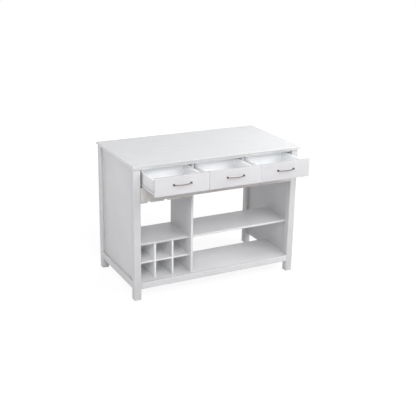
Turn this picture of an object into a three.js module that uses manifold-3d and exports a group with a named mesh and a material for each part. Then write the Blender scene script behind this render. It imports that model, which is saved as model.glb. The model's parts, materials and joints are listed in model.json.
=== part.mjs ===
// Kitchen island unit: a white worktop on four square posts, with three drawers on roller
// slides, a rack for stemmed glasses, six bottle cubbies, open shelves and room for stools
// behind. Millimetres, +X to the right along the front, +Y to the back, +Z up.
// The drawers stand pulled out, as they do in the reference view.
import * as THREE from 'three';
import { mergeVertices } from 'three/addons/utils/BufferGeometryUtils.js';
import Module from 'manifold-3d';

// ---- Overall sizes ------------------------------------------------------------------
const WIDTH = 1220; // worktop, left to right
const DEPTH = 665; // worktop, front to back
const HEIGHT = 914; // floor to worktop face
const FIT = 0.3; // gap between pieces that are fastened face to face
const CURVE_STEPS = 6; // facets to a curved part of an outline

// ---- Worktop ------------------------------------------------------------------------
const TOP_THICKNESS = 22;
const TOP_EDGE_ROUND = 4; // upper edge of the worktop
const TOP_EDGE_BAND = 9; // plain band under the round
const TOP_EDGE_COVE = 8; // hollow under the band
const OVERHANG_SIDE = 8;
const OVERHANG_FRONT = 20;
const OVERHANG_BACK = 5;

// ---- Frame --------------------------------------------------------------------------
const POST = 47; // square section of a post
const POST_ARRIS = 2;
const ARRIS = 1; // chamfer along the edges of a board
const PANEL_THICKNESS = 15; // end panel
const PANEL_RECESS = 14; // end panel's face behind the posts' outer face
const PANEL_TONGUE = 8; // how far the end panel enters the posts
const FLOOR_GAP = 75; // floor to the bottom rails
const BOTTOM_RAIL_HEIGHT = 45;
const RAIL_THICKNESS = 18;
const APRON_HEIGHT = 95; // front rail under the drawers
const TOP_RAIL_WIDTH = 60; // flat rail over the drawers
const BACK_RAIL_HEIGHT = 70; // rail under the rear overhang

// ---- Carcass behind the front -------------------------------------------------------
const CARCASS_DEPTH = 320.7; // behind the front rails; the rest of the depth is for knees
const BOARD = 15; // shelves, divider, partitions
const SHELF_TOP = 373; // top face of the middle shelves
const BAY_FLOOR_THICKNESS = 12; // board under the drawers
const BAY_FLOOR_RISE = 11; // above the apron's underside
const BAY_BACK_THICKNESS = 12;

// ---- Bottle cubbies -----------------------------------------------------------------
const CUBBY_COLUMNS = 3;
const CUBBY_BOARD = 12;

// ---- Rack for stemmed glasses -------------------------------------------------------
const STEM_ROWS = 3;
const STEM_GAP = 21; // where the stem passes
const END_SLAT_EXTRA = 10.4; // an outer slat is this much wider than half a slat
const SLAT_WEB = 25; // upright part of a slat
const SLAT_FLANGE = 8; // lip that carries the glass foot
const SLAT_DROP = 26; // bay floor to the underside of the rack
const SLAT_CHAMFER = 3;

// ---- Drawers ------------------------------------------------------------------------
const DRAWERS = ['left', 'centre', 'right'];
const PULL = 215; // how far the drawers stand open
const FRONT_THICKNESS = 18;
const FRONT_HEIGHT = 118;
const FRONT_GAP = 3; // between neighbouring fronts, and beside the posts
const FRONT_RISE = 2.5; // gap between the apron and a drawer front
const FRONT_HEADROOM = 5.5; // gap between a drawer front and the worktop
const FRONT_ARRIS = 2;
const STOP_GAP = 1; // closed front to the carcass edges behind it
const BOX_BACK_SPACE = 10; // closed box to the back of its bay
const BOX_HEADROOM = 10; // box to the flat rail above it
const BOX_RISE = 3; // underside of the box above the underside of the front
const BOX_BOARD = 12;
const BOX_BACK_DROP = 8; // the back stands this much below the sides
const BOTTOM_THICKNESS = 5;
const BOTTOM_RISE = 10; // underside of the bottom above the underside of the sides
const GROOVE_DEPTH = 5;

// ---- Roller slides ------------------------------------------------------------------
const SLIDE_SPACE = 12.5; // cabinet wall to drawer side
const CHANNEL_SETBACK = 1; // channel's front end behind the bay's front
const CHANNEL_BACK_SPACE = 12; // channel's rear end to the back of the bay
const RUNNER_BACK_SPACE = 5.5; // runner's rear end to the rear end of the box
const SHEET = 1.2; // steel of the slides
const CHANNEL_HEIGHT = 26;
const CHANNEL_LIP = 10; // reach of the channel's lips from the wall
const CHANNEL_DROP = 2.5; // channel underside below the drawer side's underside
const RUNNER_HEIGHT = 20; // drawer-side profile, flange to lip
const RUNNER_LIP_CLEAR = 3; // runner lip's edge to the cabinet wall
const ROLLER_RADIUS = 8.6;
const ROLLER_WIDTH = 6.6;
const ROLLER_SHOULDER = 1.4; // how far in from its faces the tread is rounded off
const ROLLER_SHOULDER_DROP = 0.8;
const ROLLER_HUB_DISH = 0.6; // hub's rim stands this much out of the wheel's face
const ROLLER_CLEAR = 0.3;
const ROLLER_END_SPACE = 12; // roller centre to the end of its profile
const ROLLER_HUB_RADIUS = 3.4;
const AXLE_RADIUS = 2.4;
const ROLLER_SIDES = 20;

// ---- Handles ------------------------------------------------------------------------
const HANDLE_CENTRES = 117; // foot to foot
const HANDLE_RISE = 7; // above the middle of the front
const HANDLE_FOOT_HEIGHT = 9; // front to the bar's axis at a foot
const HANDLE_BOW = 16; // how much further out the bar's middle stands
const HANDLE_BAR_RADIUS = 3;
const HANDLE_BASE_RADIUS = 6;
const HANDLE_BASE_EDGE = 1.2;
const HANDLE_BASE_FLARE = 2.4; // where the flare above the base meets the neck's line
const HANDLE_NECK_RADIUS = 4.2;
const HANDLE_END_RADIUS = 4.8;

// ---- Places worked out from the sizes above -----------------------------------------
const TOP_UNDERSIDE = HEIGHT - TOP_THICKNESS;
const POST_OUTSIDE = WIDTH / 2 - OVERHANG_SIDE;
const POST_INSIDE = POST_OUTSIDE - POST;
const PANEL_OUTSIDE = POST_OUTSIDE - PANEL_RECESS;
const PANEL_INSIDE = PANEL_OUTSIDE - PANEL_THICKNESS;
const FACE = OVERHANG_FRONT; // front faces of the posts, the rails and the closed drawers
const FRONT_POST_REAR = FACE + POST;
const REAR_FACE = DEPTH - OVERHANG_BACK;
const REAR_POST_FRONT = REAR_FACE - POST;
const CARCASS_FRONT = FACE + RAIL_THICKNESS + FIT;
const CARCASS_BACK = CARCASS_FRONT + CARCASS_DEPTH;
const SHELF_FRONT = FRONT_POST_REAR + FIT; // middle shelves and cubbies stand behind the posts
const BOTTOM_RAIL_TOP = FLOOR_GAP + BOTTOM_RAIL_HEIGHT;
const SHELF_UNDERSIDE = SHELF_TOP - BOARD;
const FRONT_UNDERSIDE = TOP_UNDERSIDE - FRONT_HEADROOM - FRONT_HEIGHT;
const APRON_TOP = FRONT_UNDERSIDE - FRONT_RISE;
const APRON_UNDERSIDE = APRON_TOP - APRON_HEIGHT;
const BAY_FLOOR_UNDERSIDE = APRON_UNDERSIDE + BAY_FLOOR_RISE;
const BAY_FLOOR_TOP = BAY_FLOOR_UNDERSIDE + BAY_FLOOR_THICKNESS;
const BAY_BACK_FRONT = CARCASS_BACK - BAY_BACK_THICKNESS;
const BAY_FRONT = FACE + FRONT_THICKNESS + STOP_GAP;
const TOP_RAIL_UNDERSIDE = TOP_UNDERSIDE - RAIL_THICKNESS;
const FRONT_PITCH = (2 * POST_INSIDE - FRONT_GAP) / DRAWERS.length;
const FRONT_WIDTH = FRONT_PITCH - FRONT_GAP;
const PARTITION_X = FRONT_PITCH / 2; // partitions and divider stand behind the front joints
const BOX_UNDERSIDE = FRONT_UNDERSIDE + BOX_RISE;
const BOX_TOP = TOP_RAIL_UNDERSIDE - BOX_HEADROOM;
const BOX_FRONT = FACE + FRONT_THICKNESS + FIT;
const BOX_BACK = BAY_BACK_FRONT - BOX_BACK_SPACE;
const BOTTOM_UNDERSIDE = BOX_UNDERSIDE + BOTTOM_RISE;
const CHANNEL_FRONT = BAY_FRONT + CHANNEL_SETBACK;
const CHANNEL_BACK = BAY_BACK_FRONT - CHANNEL_BACK_SPACE;
const RUNNER_BACK = BOX_BACK - RUNNER_BACK_SPACE;
const HANDLE_REACH = FIT + HANDLE_FOOT_HEIGHT + HANDLE_BOW + HANDLE_BAR_RADIUS;
// the origin is on the floor, in the middle of the unit with its drawers pulled out
const ORIGIN_Y = (DEPTH + FACE - PULL - HANDLE_REACH) / 2;

const WHITE_PAINT = { color: 0xf1f1f4, roughness: 0.45, metalness: 0 };
const WHITE_TOP = { color: 0xeef0f2, roughness: 0.3, metalness: 0 };
const WHITE_EPOXY = { color: 0xf4f5f6, roughness: 0.35, metalness: 0.1 };
const BRUSHED_NICKEL = { color: 0xa59c94, roughness: 0.35, metalness: 0.95 };

const wasm = await Module();
wasm.setup();

const island = new THREE.Group();
island.position.y = -ORIGIN_Y;

// ---- Making solids ------------------------------------------------------------------
function outline(points) {
  return new THREE.Shape(points.map(([u, v]) => new THREE.Vector2(u, v)));
}

function rectangle(u0, u1, v0, v1) {
  return outline([[u0, v0], [u1, v0], [u1, v1], [u0, v1]]);
}

// an outline drawn in (x, y), raised from z0 to z1
function alongZ(shape, z0, z1) {
  const geometry = new THREE.ExtrudeGeometry(shape, { depth: z1 - z0, bevelEnabled: false });
  return geometry.translate(0, 0, z0);
}

// an outline drawn in (y, z), drawn out from x0 to x1
function alongX(shape, x0, x1) {
  const options = { depth: x1 - x0, bevelEnabled: false, curveSegments: CURVE_STEPS };
  const geometry = new THREE.ExtrudeGeometry(shape, options);
  const turn = new THREE.Matrix4().makeBasis(
    new THREE.Vector3(0, 1, 0),
    new THREE.Vector3(0, 0, 1),
    new THREE.Vector3(1, 0, 0),
  );
  return geometry.applyMatrix4(turn).translate(x0, 0, 0);
}

// an outline drawn in (x, z), drawn out from y0 to y1
function alongY(shape, y0, y1) {
  const options = { depth: y1 - y0, bevelEnabled: false, curveSegments: CURVE_STEPS };
  const geometry = new THREE.ExtrudeGeometry(shape, options);
  return geometry.rotateX(Math.PI / 2).translate(0, y1, 0);
}

// a board with all its edges lightly chamfered
function board([x0, x1], [y0, y1], [z0, z1], arris = ARRIS) {
  const face = rectangle(x0 + arris, x1 - arris, y0 + arris, y1 - arris);
  const geometry = new THREE.ExtrudeGeometry(face, {
    depth: z1 - z0 - 2 * arris,
    bevelSize: arris,
    bevelThickness: arris,
    bevelSegments: 1,
  });
  return geometry.translate(0, 0, z0 + arris);
}

function toManifold(geometry) {
  const bare = geometry.clone();
  bare.deleteAttribute('normal');
  bare.deleteAttribute('uv');
  const merged = mergeVertices(bare, 1e-4);
  return new wasm.Manifold(new wasm.Mesh({
    numProp: 3,
    vertProperties: new Float32Array(merged.attributes.position.array),
    triVerts: new Uint32Array(merged.index.array),
  }));
}

function toGeometry(manifold) {
  const { vertProperties, triVerts } = manifold.getMesh();
  const geometry = new THREE.BufferGeometry();
  geometry.setAttribute('position', new THREE.BufferAttribute(vertProperties, 3));
  geometry.setIndex(new THREE.BufferAttribute(triVerts, 1));
  geometry.computeVertexNormals();
  return geometry;
}

function join(...geometries) {
  return toGeometry(geometries.map(toManifold).reduce((whole, next) => whole.add(next)));
}

function cut(geometry, tool) {
  return toGeometry(toManifold(geometry).subtract(toManifold(tool)));
}

function common(geometry, other) {
  return toGeometry(toManifold(geometry).intersect(toManifold(other)));
}

function add(name, geometry, look, parent = island) {
  const mesh = new THREE.Mesh(geometry, new THREE.MeshStandardMaterial(look));
  mesh.name = name;
  parent.add(mesh);
}

// ---- Worktop ------------------------------------------------------------------------
// Half of the moulded section is drawn from the top face down to the underside: a round,
// a plain band and a cove. The other half is its mirror image.
function mouldedSection(from, to) {
  const round = TOP_EDGE_ROUND;
  const bandFoot = HEIGHT - round - TOP_EDGE_BAND;
  const coveFoot = bandFoot - TOP_EDGE_COVE;
  const shape = new THREE.Shape();
  shape.moveTo(from + round, HEIGHT);
  shape.absarc(from + round, HEIGHT - round, round, Math.PI / 2, Math.PI, false);
  shape.lineTo(from, bandFoot);
  shape.absarc(from, coveFoot, TOP_EDGE_COVE, Math.PI / 2, 0, true);
  shape.lineTo(from + TOP_EDGE_COVE, TOP_UNDERSIDE);
  shape.lineTo(to - TOP_EDGE_COVE, TOP_UNDERSIDE);
  shape.lineTo(to - TOP_EDGE_COVE, coveFoot);
  shape.absarc(to, coveFoot, TOP_EDGE_COVE, Math.PI, Math.PI / 2, true);
  shape.lineTo(to, HEIGHT - round);
  shape.absarc(to - round, HEIGHT - round, round, 0, Math.PI / 2, false);
  return shape;
}

// the two sections crossing each other mitre the moulding at the four corners
function makeWorktop() {
  const halfWidth = WIDTH / 2;
  const acrossDepth = alongX(mouldedSection(0, DEPTH), -halfWidth, halfWidth);
  const acrossWidth = alongY(mouldedSection(-halfWidth, halfWidth), 0, DEPTH);
  add('worktop', common(acrossDepth, acrossWidth), WHITE_TOP);
}

// ---- Posts, end panels and rails ----------------------------------------------------
// `side` is -1 on the left and +1 on the right
function span(side, inner, outer) {
  return side < 0 ? [-outer, -inner] : [inner, outer];
}

// `grooveFace` is the y of the face that takes the end panel's edge
function makePost(name, side, y0, grooveFace) {
  const [x0, x1] = span(side, POST_INSIDE, POST_OUTSIDE);
  const a = POST_ARRIS;
  const y1 = y0 + POST;
  const section = outline([
    [x0 + a, y0], [x1 - a, y0], [x1, y0 + a], [x1, y1 - a],
    [x1 - a, y1], [x0 + a, y1], [x0, y1 - a], [x0, y0 + a],
  ]);
  const post = alongZ(section, 0, TOP_UNDERSIDE - FIT);
  const [groove0, groove1] = span(side, PANEL_INSIDE - FIT, PANEL_OUTSIDE + FIT);
  const groove = alongZ(
    rectangle(groove0, groove1, grooveFace - PANEL_TONGUE, grooveFace + PANEL_TONGUE),
    BOTTOM_RAIL_TOP,
    TOP_UNDERSIDE,
  );
  add(name, cut(post, groove), WHITE_PAINT);
}

function makeEnd(side, word) {
  makePost(`post_front_${word}`, side, FACE, FRONT_POST_REAR);
  makePost(`post_back_${word}`, side, REAR_POST_FRONT, REAR_POST_FRONT);
  const railLength = [FRONT_POST_REAR + FIT, REAR_POST_FRONT - FIT];
  add(
    `end_rail_${word}`,
    board(span(side, PANEL_INSIDE, POST_OUTSIDE), railLength, [FLOOR_GAP, BOTTOM_RAIL_TOP]),
    WHITE_PAINT,
  );
  const intoPosts = PANEL_TONGUE - FIT;
  add(
    `end_panel_${word}`,
    board(
      span(side, PANEL_INSIDE, PANEL_OUTSIDE),
      [FRONT_POST_REAR - intoPosts, REAR_POST_FRONT + intoPosts],
      [BOTTOM_RAIL_TOP + FIT, TOP_UNDERSIDE - FIT],
    ),
    WHITE_PAINT,
  );
  add(
    `drawer_bay_side_${word}`,
    board(
      span(side, POST_INSIDE, PANEL_INSIDE - FIT),
      [FRONT_POST_REAR + FIT, BAY_BACK_FRONT - FIT],
      [BAY_FLOOR_TOP + FIT, TOP_UNDERSIDE - FIT],
    ),
    WHITE_PAINT,
  );
}

function makeRails() {
  const betweenPosts = [-POST_INSIDE + FIT, POST_INSIDE - FIT];
  const railDepth = [FACE, FACE + RAIL_THICKNESS];
  add('front_apron', board(betweenPosts, railDepth, [APRON_UNDERSIDE, APRON_TOP]), WHITE_PAINT);
  add(
    'front_bottom_rail',
    board(betweenPosts, railDepth, [FLOOR_GAP, BOTTOM_RAIL_TOP]),
    WHITE_PAINT,
  );
  add(
    'front_top_rail',
    board(
      betweenPosts,
      [BAY_FRONT, BAY_FRONT + TOP_RAIL_WIDTH],
      [TOP_RAIL_UNDERSIDE, TOP_UNDERSIDE - FIT],
    ),
    WHITE_PAINT,
  );
  add(
    'back_top_rail',
    board(
      betweenPosts,
      [REAR_FACE - RAIL_THICKNESS, REAR_FACE],
      [TOP_UNDERSIDE - BACK_RAIL_HEIGHT, TOP_UNDERSIDE - FIT],
    ),
    WHITE_PAINT,
  );
}

// ---- Boards of the carcass ----------------------------------------------------------
// a board as wide as the unit, notched round the front posts
function addWideBoard(name, z0, z1) {
  const front = POST_INSIDE - FIT;
  const behind = PANEL_INSIDE - FIT;
  const notchBack = FRONT_POST_REAR + FIT;
  const plan = outline([
    [-front, CARCASS_FRONT], [front, CARCASS_FRONT], [front, notchBack], [behind, notchBack],
    [behind, CARCASS_BACK], [-behind, CARCASS_BACK], [-behind, notchBack], [-front, notchBack],
  ]);
  add(name, alongZ(plan, z0, z1), WHITE_PAINT);
}

function makeCarcass() {
  const dividerLeft = -PARTITION_X - BOARD / 2;
  const dividerRight = -PARTITION_X + BOARD / 2;
  addWideBoard('bottom_shelf', BOTTOM_RAIL_TOP - BOARD, BOTTOM_RAIL_TOP);
  addWideBoard('drawer_bay_floor', BAY_FLOOR_UNDERSIDE, BAY_FLOOR_TOP);
  add(
    'bay_divider',
    board(
      [dividerLeft, dividerRight],
      [CARCASS_FRONT, CARCASS_BACK],
      [BOTTOM_RAIL_TOP + FIT, BAY_FLOOR_UNDERSIDE - FIT],
    ),
    WHITE_PAINT,
  );
  const shelfDepth = [SHELF_FRONT, CARCASS_BACK];
  const shelfHeight = [SHELF_UNDERSIDE, SHELF_TOP];
  const leftBay = [-PANEL_INSIDE + FIT, dividerLeft - FIT];
  const rightBay = [dividerRight + FIT, PANEL_INSIDE - FIT];
  add('left_shelf', board(leftBay, shelfDepth, shelfHeight), WHITE_PAINT);
  add('right_shelf', board(rightBay, shelfDepth, shelfHeight), WHITE_PAINT);
  add(
    'drawer_bay_back',
    board(
      [-PANEL_INSIDE + FIT, PANEL_INSIDE - FIT],
      [BAY_BACK_FRONT, CARCASS_BACK],
      [BAY_FLOOR_TOP + FIT, TOP_UNDERSIDE - FIT],
    ),
    WHITE_PAINT,
  );
  for (const [side, word] of [[-1, 'left'], [1, 'right']]) {
    add(
      `drawer_partition_${word}`,
      board(
        [side * PARTITION_X - BOARD / 2, side * PARTITION_X + BOARD / 2],
        [BAY_FRONT, BAY_BACK_FRONT - FIT],
        [BAY_FLOOR_TOP + FIT, TOP_RAIL_UNDERSIDE - FIT],
      ),
      WHITE_PAINT,
    );
  }
}

// ---- Bottle cubbies -----------------------------------------------------------------
// Two uprights and a middle board cross in halving joints: each is slotted to half its
// depth, the uprights from behind and the board from the front. The cubbies are equally
// wide between the post and the divider.
function makeCubbies() {
  const left = -POST_INSIDE;
  const right = -PARTITION_X - BOARD / 2;
  const pitch = (right - left + CUBBY_BOARD) / CUBBY_COLUMNS;
  const half = CUBBY_BOARD / 2 + FIT;
  const crossing = (SHELF_FRONT + CARCASS_BACK) / 2;
  const boardMiddle = (BOTTOM_RAIL_TOP + SHELF_UNDERSIDE) / 2;
  const foot = BOTTOM_RAIL_TOP + FIT;
  const head = SHELF_UNDERSIDE - FIT;
  const slots = [];
  for (let column = 1; column < CUBBY_COLUMNS; column += 1) {
    const x = left + column * pitch - CUBBY_BOARD / 2;
    const side = outline([
      [SHELF_FRONT, foot],
      [CARCASS_BACK, foot],
      [CARCASS_BACK, boardMiddle - half],
      [crossing - FIT, boardMiddle - half],
      [crossing - FIT, boardMiddle + half],
      [CARCASS_BACK, boardMiddle + half],
      [CARCASS_BACK, head],
      [SHELF_FRONT, head],
    ]);
    const upright = alongX(side, x - CUBBY_BOARD / 2, x + CUBBY_BOARD / 2);
    add(`cubby_upright_${column}`, upright, WHITE_PAINT);
    slots.push(
      [x - half, SHELF_FRONT],
      [x - half, crossing],
      [x + half, crossing],
      [x + half, SHELF_FRONT],
    );
  }
  const plan = outline([
    [-PANEL_INSIDE + FIT, SHELF_FRONT],
    ...slots,
    [right - FIT, SHELF_FRONT],
    [right - FIT, CARCASS_BACK],
    [-PANEL_INSIDE + FIT, CARCASS_BACK],
  ]);
  const middle = alongZ(plan, boardMiddle - CUBBY_BOARD / 2, boardMiddle + CUBBY_BOARD / 2);
  add('cubby_middle_board', middle, WHITE_PAINT);
}

// ---- Rack for stemmed glasses -------------------------------------------------------
// Slats with a T section hang under the drawer bay. The outer two are cut off flush with
// the post and the divider. A glass hangs by its foot on two neighbouring lips.
function slatSection(flange0, flange1, web0, web1) {
  const top = BAY_FLOOR_UNDERSIDE - FIT;
  const low = BAY_FLOOR_UNDERSIDE - SLAT_DROP;
  const lip = low + SLAT_FLANGE;
  const c0 = web0 > flange0 ? SLAT_CHAMFER : 0;
  const c1 = web1 < flange1 ? SLAT_CHAMFER : 0;
  const points = [[flange0 + c0, low], [flange1 - c1, low]];
  if (c1) points.push([flange1, low + c1], [flange1, lip], [web1, lip]);
  points.push([web1, top], [web0, top]);
  if (c0) points.push([web0, lip], [flange0, lip], [flange0, low + c0]);
  return outline(points);
}

function makeStemwareRack() {
  const from = -POST_INSIDE + FIT;
  const to = -PARTITION_X - BOARD / 2 - FIT;
  const pitch = (to - from - 2 * END_SLAT_EXTRA) / STEM_ROWS;
  for (let slat = 0; slat <= STEM_ROWS; slat += 1) {
    const middle = from + END_SLAT_EXTRA + slat * pitch;
    const flange0 = slat === 0 ? from : middle - (pitch - STEM_GAP) / 2;
    const flange1 = slat === STEM_ROWS ? to : middle + (pitch - STEM_GAP) / 2;
    const web0 = slat === 0 ? from : middle - SLAT_WEB / 2;
    const web1 = slat === STEM_ROWS ? to : middle + SLAT_WEB / 2;
    const section = slatSection(flange0, flange1, web0, web1);
    add(`stemware_slat_${slat + 1}`, alongY(section, CARCASS_FRONT, CARCASS_BACK), WHITE_PAINT);
  }
}

// ---- Roller slides ------------------------------------------------------------------
// Sections are drawn with u counted from the cabinet wall towards the drawer, and z from
// the underside of the drawer's side. `wall` is the wall's x and `inward` the way to the
// drawer, +1 or -1.
function placed(points, wall, inward) {
  return outline(points.map(([u, z]) => [wall + inward * u, BOX_UNDERSIDE + z]));
}

// a nylon wheel with a hub, on a stub axle that runs from the steel profile
function roller(wall, inward, uWheel, uRoot, y, z) {
  const rim = ROLLER_RADIUS - ROLLER_SHOULDER_DROP;
  const wheelProfile = [
    [0, 0], [ROLLER_HUB_RADIUS, 0], [rim, ROLLER_HUB_DISH], [ROLLER_RADIUS, ROLLER_SHOULDER],
    [ROLLER_RADIUS, ROLLER_WIDTH - ROLLER_SHOULDER], [rim, ROLLER_WIDTH - ROLLER_HUB_DISH],
    [ROLLER_HUB_RADIUS, ROLLER_WIDTH], [0, ROLLER_WIDTH],
  ].map(([r, h]) => new THREE.Vector2(r, h));
  const wheel = new THREE.LatheGeometry(wheelProfile, ROLLER_SIDES);
  wheel.rotateZ(-Math.PI / 2).translate(uWheel, 0, 0);
  const reach = Math.abs(uRoot - (uWheel + ROLLER_WIDTH / 2));
  const axle = new THREE.CylinderGeometry(AXLE_RADIUS, AXLE_RADIUS, reach, ROLLER_SIDES);
  axle.rotateZ(Math.PI / 2).translate((uRoot + uWheel + ROLLER_WIDTH / 2) / 2, 0, 0);
  const turned = join(wheel, axle);
  if (inward < 0) turned.rotateZ(Math.PI);
  return turned.translate(wall, y, z);
}

function channelSection(wall, inward) {
  const low = -CHANNEL_DROP;
  const high = low + CHANNEL_HEIGHT;
  const back = FIT + SHEET;
  return placed([
    [FIT, low], [CHANNEL_LIP, low], [CHANNEL_LIP, low + SHEET], [back, low + SHEET],
    [back, high - SHEET], [CHANNEL_LIP, high - SHEET], [CHANNEL_LIP, high], [FIT, high],
  ], wall, inward);
}

function runnerSection(wall, inward) {
  const outer = SLIDE_SPACE - FIT;
  const flange = -FIT;
  const lip = flange - SHEET + RUNNER_HEIGHT;
  return placed([
    [outer + BOX_BOARD, flange - SHEET], [outer - SHEET, flange - SHEET],
    [outer - SHEET, lip - SHEET], [RUNNER_LIP_CLEAR, lip - SHEET], [RUNNER_LIP_CLEAR, lip],
    [outer, lip], [outer, flange], [outer + BOX_BOARD, flange],
  ], wall, inward);
}

// the runner's lip rolls on the front wheel, whose top is ROLLER_CLEAR below it
function makeChannel(name, wall, inward) {
  const steel = alongY(channelSection(wall, inward), CHANNEL_FRONT, CHANNEL_BACK);
  const lipUnderside = RUNNER_HEIGHT - FIT - 2 * SHEET;
  const wheel = roller(
    wall,
    inward,
    FIT + SHEET + ROLLER_CLEAR,
    FIT + SHEET / 2,
    CHANNEL_FRONT + ROLLER_END_SPACE,
    BOX_UNDERSIDE + lipUnderside - ROLLER_CLEAR - ROLLER_RADIUS,
  );
  // a stop plate inside the rear end, let half a sheet into the web and the lips
  const stopReach = CHANNEL_LIP - SHEET;
  const stopRoot = FIT + SHEET / 2;
  const stopLow = SHEET / 2 - CHANNEL_DROP;
  const stopHigh = CHANNEL_HEIGHT - CHANNEL_DROP - SHEET / 2;
  const stop = alongY(
    placed([
      [stopRoot, stopLow], [stopReach, stopLow], [stopReach, stopHigh], [stopRoot, stopHigh],
    ], wall, inward),
    CHANNEL_BACK - 2 * SHEET,
    CHANNEL_BACK - SHEET,
  );
  add(name, join(steel, wheel, stop), WHITE_EPOXY);
}

// the rear wheel runs inside the channel, ROLLER_CLEAR above its lower lip
function makeRunner(name, wall, inward, parent) {
  const steel = alongY(runnerSection(wall, inward), BOX_FRONT, RUNNER_BACK);
  const webFace = SLIDE_SPACE - FIT - SHEET;
  const wheel = roller(
    wall,
    inward,
    webFace - ROLLER_CLEAR - ROLLER_WIDTH,
    webFace + SHEET / 2,
    RUNNER_BACK - ROLLER_END_SPACE,
    BOX_UNDERSIDE - CHANNEL_DROP + SHEET + ROLLER_CLEAR + ROLLER_RADIUS,
  );
  add(name, join(steel, wheel), WHITE_EPOXY, parent);
}

// ---- Drawers ------------------------------------------------------------------------
// Each drawer is built closed, then pulled out by its group.
function makeHandle(name, x, z, parent) {
  const half = HANDLE_CENTRES / 2;
  const axis = HANDLE_FOOT_HEIGHT;
  const bow = new THREE.QuadraticBezierCurve3(
    new THREE.Vector3(-half, 0, axis),
    new THREE.Vector3(0, 0, axis + 2 * HANDLE_BOW),
    new THREE.Vector3(half, 0, axis),
  );
  const barSection = new THREE.Shape();
  barSection.absarc(0, 0, HANDLE_BAR_RADIUS, 0, 2 * Math.PI, false);
  const bar = new THREE.ExtrudeGeometry(
    barSection,
    { extrudePath: bow, steps: 16, curveSegments: 12 },
  );
  const footProfile = new THREE.Path();
  footProfile.moveTo(0, 0);
  footProfile.lineTo(HANDLE_BASE_RADIUS, 0);
  footProfile.lineTo(HANDLE_BASE_RADIUS, HANDLE_BASE_EDGE);
  footProfile.quadraticCurveTo(
    HANDLE_NECK_RADIUS,
    HANDLE_BASE_FLARE,
    HANDLE_NECK_RADIUS,
    axis / 2,
  );
  footProfile.lineTo(HANDLE_NECK_RADIUS, axis);
  footProfile.lineTo(0, axis);
  const pieces = [bar];
  for (const side of [-1, 1]) {
    const foot = new THREE.LatheGeometry(footProfile.getPoints(4), 16);
    const end = new THREE.SphereGeometry(HANDLE_END_RADIUS, 14, 10);
    pieces.push(foot.rotateX(Math.PI / 2).translate(side * half, 0, 0));
    pieces.push(end.translate(side * half, 0, axis));
  }
  const handle = join(...pieces);
  // the handle's outward way, drawn as +z, is turned to face the front, -y
  handle.rotateX(Math.PI / 2).translate(x, FACE - FIT, z);
  add(name, handle, BRUSHED_NICKEL, parent);
}

function makeBox(word, left, right, parent) {
  const length = [BOX_FRONT, BOX_BACK];
  const groove0 = BOTTOM_UNDERSIDE - FIT;
  const groove1 = BOTTOM_UNDERSIDE + BOTTOM_THICKNESS + FIT;
  const side = (outer, inward) => {
    const inner = outer + inward * BOX_BOARD;
    const grooveFoot = inner - inward * GROOVE_DEPTH;
    const bevel = outer + inward * ARRIS;
    return outline([
      [outer, BOX_UNDERSIDE], [inner, BOX_UNDERSIDE], [inner, groove0], [grooveFoot, groove0],
      [grooveFoot, groove1], [inner, groove1], [inner, BOX_TOP - ARRIS],
      [inner - inward * ARRIS, BOX_TOP], [bevel, BOX_TOP], [outer, BOX_TOP - ARRIS],
    ]);
  };
  add(`${word}_drawer_side_left`, alongY(side(left, 1), ...length), WHITE_PAINT, parent);
  add(`${word}_drawer_side_right`, alongY(side(right, -1), ...length), WHITE_PAINT, parent);
  const inside = [left + BOX_BOARD + FIT, right - BOX_BOARD - FIT];
  add(
    `${word}_drawer_back`,
    board(
      inside,
      [BOX_BACK - BOX_BOARD, BOX_BACK],
      [BOTTOM_UNDERSIDE + BOTTOM_THICKNESS + FIT, BOX_TOP - BOX_BACK_DROP],
    ),
    WHITE_PAINT,
    parent,
  );
  const intoGroove = GROOVE_DEPTH - FIT;
  add(
    `${word}_drawer_bottom`,
    alongZ(
      rectangle(
        left + BOX_BOARD - intoGroove,
        right - BOX_BOARD + intoGroove,
        BOX_FRONT,
        BOX_BACK,
      ),
      BOTTOM_UNDERSIDE,
      BOTTOM_UNDERSIDE + BOTTOM_THICKNESS,
    ),
    WHITE_PAINT,
    parent,
  );
}

function makeDrawer(word, column) {
  const drawer = new THREE.Group();
  drawer.position.y = -PULL;
  island.add(drawer);
  const middle = (column - (DRAWERS.length - 1) / 2) * FRONT_PITCH;
  const wallLeft = column === 0 ? -POST_INSIDE : middle - FRONT_PITCH / 2 + BOARD / 2;
  const isLast = column === DRAWERS.length - 1;
  const wallRight = isLast ? POST_INSIDE : middle + FRONT_PITCH / 2 - BOARD / 2;
  add(
    `${word}_drawer_front`,
    board(
      [middle - FRONT_WIDTH / 2, middle + FRONT_WIDTH / 2],
      [FACE, FACE + FRONT_THICKNESS],
      [FRONT_UNDERSIDE, FRONT_UNDERSIDE + FRONT_HEIGHT],
      FRONT_ARRIS,
    ),
    WHITE_PAINT,
    drawer,
  );
  makeHandle(
    `${word}_drawer_handle`,
    middle,
    FRONT_UNDERSIDE + FRONT_HEIGHT / 2 + HANDLE_RISE,
    drawer,
  );
  makeBox(word, wallLeft + SLIDE_SPACE, wallRight - SLIDE_SPACE, drawer);
  makeRunner(`${word}_drawer_runner_left`, wallLeft, 1, drawer);
  makeRunner(`${word}_drawer_runner_right`, wallRight, -1, drawer);
  makeChannel(`${word}_bay_channel_left`, wallLeft, 1);
  makeChannel(`${word}_bay_channel_right`, wallRight, -1);
}

makeWorktop();
makeEnd(-1, 'left');
makeEnd(1, 'right');
makeRails();
makeCarcass();
makeCubbies();
makeStemwareRack();
DRAWERS.forEach(makeDrawer);

export default island;
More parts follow.
